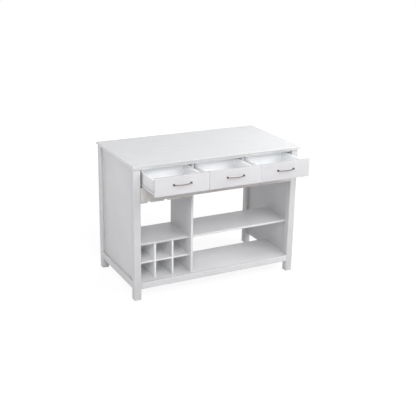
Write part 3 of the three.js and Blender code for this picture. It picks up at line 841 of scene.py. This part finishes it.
# %% The tree that sets parts on points
def new_tree(name, inputs):
    tree = bpy.data.node_groups.new(name, "GeometryNodeTree")
    sockets = tree.interface
    sockets.new_socket("Geometry", in_out="INPUT", socket_type="NodeSocketGeometry")
    for label, kind in inputs.items():
        sockets.new_socket(label, in_out="INPUT", socket_type=f"NodeSocket{kind}")
    sockets.new_socket("Geometry", in_out="OUTPUT", socket_type="NodeSocketGeometry")
    return tree, tree.nodes.new("NodeGroupInput"), tree.nodes.new("NodeGroupOutput")


def use_tree(piece, tree, **values):
    """An input is set by its socket's identifier. Its name here has underscores."""
    modifier = piece.modifiers.new(tree.name, "NODES")
    modifier.node_group = tree
    for item in tree.interface.items_tree:
        key = item.name.replace(" ", "_")
        if item.in_out == "INPUT" and key in values:
            modifier[item.identifier] = values[key]


def set_out_tree():
    tree, given, result = new_tree(
        "parts set on points", {"Part": "Object", "Size": "Float", "Finish": "Material"}
    )
    part = add_node(tree, "GeometryNodeObjectInfo")
    facing = add_node(
        tree, "GeometryNodeInputNamedAttribute", {"data_type": "FLOAT_VECTOR"}, Name="facing"
    )
    turn = add_node(tree, "FunctionNodeAlignRotationToVector", {"axis": "Z"})
    points = add_node(tree, "GeometryNodeMeshToPoints")
    setting = add_node(tree, "GeometryNodeInstanceOnPoints")
    real = add_node(tree, "GeometryNodeRealizeInstances")
    finish = add_node(tree, "GeometryNodeSetMaterial")
    wire(tree, (
        (given, "Geometry", points, "Mesh"),
        (points, "Points", setting, "Points"),
        (given, "Part", part, "Object"),
        (part, "Geometry", setting, "Instance"),
        (facing, "Attribute", turn, "Vector"),
        (turn, "Rotation", setting, "Rotation"),
        (given, "Size", setting, "Scale"),
        (setting, "Instances", real, "Geometry"),
        (real, "Geometry", finish, "Geometry"),
        (given, "Finish", finish, "Material"),
        (finish, "Geometry", result, "Geometry"),
    ))
    return tree


SET_OUT = set_out_tree()
print("tree:", SET_OUT.name, "nodes:", len(SET_OUT.nodes))

# %% [markdown]
# The carrier is a mesh of loose vertices. The part to repeat must be an object for the
# tree to read it, so it is given one, which is deleted once the result is plain mesh.

# %% Set parts out on a body
def set_out(name, part_mesh, places, material, body, size=1.0):
    """Each place is a point and the way that the part's z axis faces there."""
    carrier = bpy.data.meshes.new(name)
    carrier.from_pydata([point for point, _ in places], [], [])
    facing = carrier.attributes.new("facing", "FLOAT_VECTOR", "POINT")
    facing.data.foreach_set("vector", [value for _, way in places for value in way])
    pattern = new_object("pattern_part", part_mesh)
    piece = new_object(name, carrier)
    use_tree(piece, SET_OUT, Part=pattern, Size=size, Finish=material)
    settle(piece)
    bpy.data.objects.remove(pattern)
    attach(piece, body)
    return piece


print("ready to set parts out")

# %% [markdown]
# ## Bow handles
#
# Each handle is one bar that bows out from the drawer front, between two turned feet. A
# foot has a stepped base, a neck that narrows, a collar and a ball. It is turned with its
# origin in the middle of the ball, at the bar's height. The base, the neck and the collar
# are (radius, height) points in millimetres, counted from the drawer front, and the ball
# starts a little under its middle, where it sits in the collar.

# %% The handle's foot
HANDLE_FOOT = 9 * MM
BALL_RADIUS = 4.8 * MM
FOOT_BASE = ((0, 0), (5.7, 0), (6.0, 0.3), (6.0, 1.0), (5.75, 1.3), (5.1, 1.5), (4.9, 1.8))
FOOT_COLLAR = ((4.15, 5.4), (4.45, 5.7), (4.45, 6.0), (4.2, 6.3))
BALL_START = -28
NECK = {"radius": 4.15, "flare": 0.7, "foot": 1.8, "height": 3.2}
NECK_STEPS = (0.15, 0.35, 0.6, 1)


def handle_foot():
    neck = tuple(
        (NECK["radius"] + NECK["flare"] * (1 - t) ** 2, NECK["foot"] + NECK["height"] * t)
        for t in NECK_STEPS
    )
    foot = [(r * MM, h * MM - HANDLE_FOOT) for r, h in FOOT_BASE + neck + FOOT_COLLAR]
    return turned("handle_foot", foot + arc((0, 0), BALL_RADIUS, BALL_START, 90))


FOOT = handle_foot()
print("handle foot faces:", len(FOOT.polygons))

# %% [markdown]
# The bar follows a path, so Geometry Nodes draw a quadratic curve and sweep a circle along
# it. The feet hang from the two ends of the same curve, so they always meet the bar. A
# quadratic curve rises half as far as its middle point, so the bow is doubled first.

# %% The tree that sweeps the bar and plants the feet
def bow_handle_tree():
    tree, given, result = new_tree("bow handle", {
        "Half Span": "Float", "Bow": "Float", "Bar Radius": "Float", "Foot": "Object",
        "Bar Finish": "Material", "Foot Finish": "Material",
    })
    minus = add_node(tree, "ShaderNodeMath", {"operation": "MULTIPLY"})
    minus.inputs[1].default_value = -1
    double = add_node(tree, "ShaderNodeMath", {"operation": "MULTIPLY"})
    double.inputs[1].default_value = 2
    left = add_node(tree, "ShaderNodeCombineXYZ")
    middle = add_node(tree, "ShaderNodeCombineXYZ")
    right = add_node(tree, "ShaderNodeCombineXYZ")
    bow = add_node(tree, "GeometryNodeCurveQuadraticBezier", Resolution=48)
    ring = add_node(tree, "GeometryNodeCurvePrimitiveCircle", Resolution=24)
    sweep = add_node(tree, "GeometryNodeCurveToMesh", Fill_Caps=True)
    ends = add_node(tree, "GeometryNodeCurveToPoints", Count=2)
    foot = add_node(tree, "GeometryNodeObjectInfo")
    feet = add_node(tree, "GeometryNodeInstanceOnPoints")
    both = add_node(tree, "GeometryNodeJoinGeometry")
    real = add_node(tree, "GeometryNodeRealizeInstances")
    smooth = add_node(tree, "GeometryNodeSetShadeSmooth")
    bar_finish = add_node(tree, "GeometryNodeSetMaterial")
    foot_finish = add_node(tree, "GeometryNodeSetMaterial")
    wire(tree, (
        (given, "Half Span", minus, 0),
        (given, "Bow", double, 0),
        (minus, 0, left, "X"),
        (double, 0, middle, "Z"),
        (given, "Half Span", right, "X"),
        (left, 0, bow, "Start"),
        (middle, 0, bow, "Middle"),
        (right, 0, bow, "End"),
        (given, "Bar Radius", ring, "Radius"),
        (bow, "Curve", sweep, "Curve"),
        (ring, "Curve", sweep, "Profile Curve"),
        (sweep, "Mesh", smooth, "Geometry"),
        (bow, "Curve", ends, "Curve"),
        (ends, "Points", feet, "Points"),
        (given, "Foot", foot, "Object"),
        (foot, "Geometry", feet, "Instance"),
        (smooth, "Geometry", bar_finish, "Geometry"),
        (given, "Bar Finish", bar_finish, "Material"),
        (feet, "Instances", real, "Geometry"),
        (real, "Geometry", foot_finish, "Geometry"),
        (given, "Foot Finish", foot_finish, "Material"),
        (bar_finish, "Geometry", both, "Geometry"),
        (foot_finish, "Geometry", both, "Geometry"),
        (both, "Geometry", result, "Geometry"),
    ))
    return tree


BOW_HANDLE = bow_handle_tree()
print("tree:", BOW_HANDLE.name, "nodes:", len(BOW_HANDLE.nodes))

# %% [markdown]
# The tree draws the handle with its bar along x, its outward side towards +z, and the
# bar's ends at the origin's height. The finished mesh is then turned to face the front and
# carried to its drawer, so the piece's object can stay at the origin.

# %% Fit a handle to each drawer
HANDLE_CENTRES = 117 * MM
HANDLE_BOW = 16 * MM
BAR_RADIUS = 3 * MM


def make_handle(word):
    node = f"{word}_drawer_handle"
    low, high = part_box(node)
    middle = (low + high) / 2
    pattern = new_object("pattern_foot", FOOT)
    piece = new_object(f"{word}_handle_bow", bpy.data.meshes.new("handle"))
    use_tree(
        piece, BOW_HANDLE, Half_Span=HANDLE_CENTRES / 2, Bow=HANDLE_BOW,
        Bar_Radius=BAR_RADIUS, Foot=pattern, Bar_Finish=NICKEL, Foot_Finish=DARK_NICKEL,
    )
    settle(piece)
    bpy.data.objects.remove(pattern)
    to_front = Matrix.Rotation(math.radians(90), 4, "X")
    spot = Matrix.Translation((middle.x, high.y - HANDLE_FOOT, middle.z))
    piece.data.transform(spot @ to_front)
    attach(piece, body_of(node))
    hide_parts(node)
    return piece


handles = [make_handle(word) for word in DRAWERS]
print("handle faces:", [len(h.data.polygons) for h in handles])

# %% [markdown]
# ## Roller slides
#
# A slide is a pair of profiles folded from thin steel. The channel is screwed to the wall
# of the bay, and the runner hooks under the drawer's side. A fold is never sharp, so the
# section is drawn as the middle line of the sheet, its corners are filleted, and the line
# is drawn out along the slide. Geometry Nodes do this from any section.

# %% The tree that folds steel
def folded_steel_tree():
    tree, given, result = new_tree("folded steel", {
        "Length": "Float", "Fold Radius": "Float", "Finish": "Material",
    })
    line = add_node(tree, "GeometryNodeMeshToCurve")
    fold = add_node(tree, "GeometryNodeFilletCurve", {"mode": "POLY"}, Count=4)
    edge = add_node(tree, "GeometryNodeCurveToMesh")
    along = add_node(tree, "ShaderNodeCombineXYZ")
    out = add_node(tree, "GeometryNodeExtrudeMesh", {"mode": "EDGES"}, Offset_Scale=1)
    finish = add_node(tree, "GeometryNodeSetMaterial")
    wire(tree, (
        (given, "Geometry", line, "Mesh"),
        (line, "Curve", fold, "Curve"),
        (given, "Fold Radius", fold, "Radius"),
        (fold, "Curve", edge, "Curve"),
        (edge, "Mesh", out, "Mesh"),
        (given, "Length", along, "Y"),
        (along, 0, out, "Offset"),
        (out, "Mesh", finish, "Geometry"),
        (given, "Finish", finish, "Material"),
        (finish, "Geometry", result, "Geometry"),
    ))
    return tree


FOLDED_STEEL = folded_steel_tree()
print("tree:", FOLDED_STEEL.name, "nodes:", len(FOLDED_STEEL.nodes))

# %% [markdown]
# The tree leaves a surface without thickness. Solidify gives the sheet its thickness, half
# to each side of the middle line. That can leave faces the wrong way round, so the normals
# are worked out again once the piece is plain mesh.

# %% Fold a profile for a slide
SHEET = 1.2 * MM
FOLD_RADIUS = 1.4 * MM


def folded(node, section):
    """The section is the sheet's middle line, as (x, z) points."""
    low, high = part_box(node)
    mesh = bpy.data.meshes.new(node)
    chain = [(i, i + 1) for i in range(len(section) - 1)]
    mesh.from_pydata([(x, low.y, z) for x, z in section], chain, [])
    piece = new_object(f"{node}_steel", mesh)
    use_tree(
        piece, FOLDED_STEEL, Length=high.y - low.y, Fold_Radius=FOLD_RADIUS, Finish=EPOXY
    )
    sheet = piece.modifiers.new("sheet", "SOLIDIFY")
    sheet.thickness = SHEET
    sheet.offset = 0
    settle(piece)
    work = bmesh.new()
    work.from_mesh(piece.data)
    bmesh.ops.recalc_face_normals(work, faces=work.faces)
    work.to_mesh(piece.data)
    work.free()
    shade_smooth(piece.data)
    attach(piece, body_of(node))
    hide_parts(node)
    return piece


print("sheet:", SHEET, "fold radius:", FOLD_RADIUS)

# %% [markdown]
# The channel opens towards the drawer. It has a roller inside its front end and a stop plate
# a sheet in from its rear end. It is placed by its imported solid, and "inward" says whether
# the drawer lies towards +x or -x. The places of the rollers and the screws are noted on
# the way, by body, to be set out later.

# %% Fold a channel
CHANNEL_WHEEL = {"rise": 10.9 * MM, "from_end": 12 * MM, "out": 4.8 * MM}
CHANNEL_SCREWS = (0.2, 0.55, 0.88)
rollers = {}
slide_screws = {}
stops = bmesh.new()


def note(places, body, point, way):
    places.setdefault(body, []).append((point, way))


def stop_plate(low, high):
    size = (high.x - low.x - 2 * SHEET, SHEET, high.z - low.z - 2 * SHEET)
    middle = ((low.x + high.x) / 2, high.y - 1.5 * SHEET, (low.z + high.z) / 2)
    place = Matrix.Translation(middle) @ Matrix.Diagonal((*size, 1))
    bmesh.ops.create_cube(stops, size=1, matrix=place)


def fold_channel(node, inward):
    low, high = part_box(node)
    wall, mouth = (low.x, high.x) if inward > 0 else (high.x, low.x)
    half = SHEET / 2
    web, bottom, top = wall + inward * half, low.z + half, high.z - half
    stop_plate(low, high)
    hub = wall + inward * CHANNEL_WHEEL["out"]
    note(rollers, body_of(node), (
        hub, low.y + CHANNEL_WHEEL["from_end"], low.z + CHANNEL_WHEEL["rise"]
    ), (inward, 0, 0))
    for share in CHANNEL_SCREWS:
        note(slide_screws, body_of(node), (
            wall + inward * SHEET, low.y + share * (high.y - low.y), (low.z + high.z) / 2
        ), (inward, 0, 0))
    return folded(node, [(mouth, bottom), (web, bottom), (web, top), (mouth, top)])


print("screws in a channel:", len(CHANNEL_SCREWS))

# %% [markdown]
# The runner is folded round the lower edge of the drawer's side: a flange under it, a web
# beside it and a lip that reaches out over the channel's roller. Its own roller sits
# outside the web at the rear and runs in the channel.

# %% Fold a runner
RUNNER_WEB_GAP = 0.3 * MM
RUNNER_WHEEL = {"rise": 9.1 * MM, "from_end": 12 * MM, "out": 4.2 * MM}
RUNNER_SCREWS = (0.12, 0.5, 0.85)


def fold_runner(node, board_box, inward):
    low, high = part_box(node)
    lip, root = (low.x, high.x) if inward > 0 else (high.x, low.x)
    board = board_box[0].x if inward > 0 else board_box[1].x
    half = SHEET / 2
    web, bottom, top = board - inward * (RUNNER_WEB_GAP + half), low.z + half, high.z - half
    hub = web - inward * RUNNER_WHEEL["out"]
    note(rollers, body_of(node), (
        hub, high.y - RUNNER_WHEEL["from_end"], low.z + RUNNER_WHEEL["rise"]
    ), (-inward, 0, 0))
    for share in RUNNER_SCREWS:
        note(slide_screws, body_of(node), (
            (root + board) / 2, low.y + share * (high.y - low.y), low.z
        ), (0, 0, -1))
    return folded(node, [(root, bottom), (web, bottom), (web, top), (lip, top)])


print("screws in a runner:", len(RUNNER_SCREWS))

# %% [markdown]
# Each drawer has a slide on either side. The six stop plates are one piece.

# %% Fold all twelve profiles
steel = []
for word in DRAWERS:
    for side, inward in (("left", 1), ("right", -1)):
        steel.append(fold_channel(f"{word}_bay_channel_{side}", inward))
        board_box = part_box(f"{word}_drawer_side_{side}")
        steel.append(fold_runner(f"{word}_drawer_runner_{side}", board_box, inward))
stop_mesh = mesh_from(stops, "channel_stops")
steel.append(place_mesh("channel_stops", stop_mesh, EPOXY, "carcass"))
print("steel pieces:", len(steel), "faces:", sum(len(s.data.polygons) for s in steel))

# %% [markdown]
# The rollers and screws that ride on one body become one mesh.

# %% Rollers and screws of the slides
for body, places in rollers.items():
    set_out(f"{body}_rollers", ROLLER, places, NYLON, body)
for body, places in slide_screws.items():
    set_out(f"{body}_slide_screws", SCREW, places, ZINC, body)
print("rollers:", {b: len(p) for b, p in rollers.items()})
print("slide screws:", {b: len(p) for b, p in slide_screws.items()})

# %% [markdown]
# The handles are bolted through the drawer fronts, so two bolt heads show inside each
# drawer, level with the handle's feet. They are the same pan heads, a little larger.

# %% Handle bolts inside the drawers
BOLT_SIZE = 1.15
for word in DRAWERS:
    low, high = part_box(f"{word}_drawer_handle")
    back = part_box(f"{word}_drawer_front")[1].y
    middle = (low + high) / 2
    places = [
        ((middle.x + way * HANDLE_CENTRES / 2, back, middle.z), (0, 1, 0)) for way in (-1, 1)
    ]
    set_out(
        f"{word}_handle_bolts", SCREW, places, ZINC, body_of(f"{word}_drawer_handle"),
        size=BOLT_SIZE,
    )
print("handle bolts:", 2 * len(DRAWERS))

# %% [markdown]
# ## Studio
#
# The picture is a cut-out on pure white. The world therefore looks white to the camera,
# and to the rays that metal or a gloss throws back, but adds only a little even light to
# the island. Light Path tells the two kinds of ray apart.

# %% A world that looks white
WHITE = (1, 1, 1, 1)
WORLD_LIGHT = 0.02


def seen_by_eye(tree):
    """1 for a ray that ends in the camera, also by way of a gloss or glass."""
    path = add_node(tree, "ShaderNodeLightPath")
    seen = path.outputs["Is Camera Ray"]
    for ray in ("Is Glossy Ray", "Is Transmission Ray"):
        either = add_node(tree, "ShaderNodeMath", {"operation": "MAXIMUM"}, Value=seen)
        tree.links.new(path.outputs[ray], either.inputs[1])
        seen = either.outputs[0]
    return seen


def make_world():
    world = bpy.data.worlds.new("studio")
    world.use_nodes = True
    tree = world.node_tree
    tree.nodes.clear()
    lit = add_node(tree, "ShaderNodeBackground", Color=WHITE, Strength=WORLD_LIGHT)
    white = add_node(tree, "ShaderNodeBackground", Color=WHITE, Strength=1)
    choose = add_node(tree, "ShaderNodeMixShader", Fac=seen_by_eye(tree))
    out = add_node(tree, "ShaderNodeOutputWorld")
    wire(tree, (
        (lit, 0, choose, 1),
        (white, 0, choose, 2),
        (choose, 0, out, "Surface"),
    ))
    bpy.context.scene.world = world


make_world()
print("world light:", WORLD_LIGHT)

# %% [markdown]
# The floor is white too and keeps the island's shadow. To the camera it is mostly a steady
# glow, with a little real light on it that the island can shade. The glow is a touch under
# white near the island and grows to full white further out. Every other ray sees an
# ordinary pale floor.

# %% A floor that keeps the shadow
FLOOR_GREY = (0.8, 0.8, 0.8, 1)
FLOOR_SHADOW = (0.15, 0.15, 0.15, 1)
FLOOR_GLOW = 0.88
GLOW_GROWS = (1.2, 4.0)
FLOOR_HALF = 12


def floor_material():
    material, tree, _ = new_material("studio_floor")
    tree.nodes.clear()
    plain = add_node(tree, "ShaderNodeBsdfDiffuse", Color=FLOOR_GREY)
    faint = add_node(tree, "ShaderNodeBsdfDiffuse", Color=FLOOR_SHADOW)
    distance = add_node(
        tree, "ShaderNodeVectorMath", {"operation": "LENGTH"}, Vector=object_pattern(tree)
    )
    strength = spread(tree, distance.outputs["Value"], FLOOR_GLOW, 1, given=GLOW_GROWS)
    glow = add_node(tree, "ShaderNodeEmission", Color=WHITE, Strength=strength)
    seen = add_node(tree, "ShaderNodeAddShader")
    choose = add_node(tree, "ShaderNodeMixShader", Fac=seen_by_eye(tree))
    out = add_node(tree, "ShaderNodeOutputMaterial")
    wire(tree, (
        (faint, 0, seen, 0),
        (glow, 0, seen, 1),
        (plain, 0, choose, 1),
        (seen, 0, choose, 2),
        (choose, 0, out, "Surface"),
    ))
    return material


def make_floor(half=FLOOR_HALF):
    mesh = bpy.data.meshes.new("studio_floor")
    corners = [(-half, -half, 0), (half, -half, 0), (half, half, 0), (-half, half, 0)]
    mesh.from_pydata(corners, [], [(0, 1, 2, 3)])
    mesh.materials.append(floor_material())
    new_object("studio_floor", mesh)


make_floor()
print("floor glow:", FLOOR_GLOW)

# %% [markdown]
# The light comes from soft square lamps round the island. Each is placed by its bearing
# from the front, its height angle and its distance, and aimed at the island's middle. Their
# powers were fitted to the photograph: the front is brightest, the left end darker, and the
# low lamps reach into the drawers and under the worktop at the back. Only one lamp may
# show in reflections. It gives the handles their highlights, while the others would burn
# white patches into the worktop.

# %% Lamps
LAMP_TARGET = Vector((0, 0, 0.45))
SHOWN_LAMP = "left_key"
LAMPS = {
    "left_key": {"bearing": -25, "height": 42, "power": 54},
    "right_key": {"bearing": 30, "height": 36, "power": 70},
    "low_fill": {"bearing": -25, "height": 26, "power": 54},
    "floor_fill": {"bearing": -20, "height": 7, "power": 20},
    "left_fill": {"bearing": -90, "height": 20, "power": 61},
    "right_fill": {"bearing": 75, "height": 30, "power": 29, "distance": 2.4, "size": 1.2},
    "back_fill": {"bearing": -155, "height": 17, "power": 33},
    "back_low": {"bearing": 172, "height": 7, "power": 42},
    "back_top": {"bearing": 150, "height": 55, "power": 48},
}


def soft_lamp(name, bearing, height, power, distance=4.5, size=2.0):
    data = bpy.data.lights.new(name, "AREA")
    data.shape = "SQUARE"
    data.size = size
    data.energy = power
    across, up = math.radians(bearing), math.radians(height)
    way = Vector((
        math.sin(across) * math.cos(up), -math.cos(across) * math.cos(up), math.sin(up)
    ))
    lamp = new_object(name, data)
    lamp.location = LAMP_TARGET + distance * way
    lamp.rotation_euler = (-way).to_track_quat("-Z", "Y").to_euler()
    lamp.visible_glossy = name == SHOWN_LAMP


for name, values in LAMPS.items():
    soft_lamp(name, **values)
print("lamps:", len(LAMPS), "power:", sum(v["power"] for v in LAMPS.values()), "W")
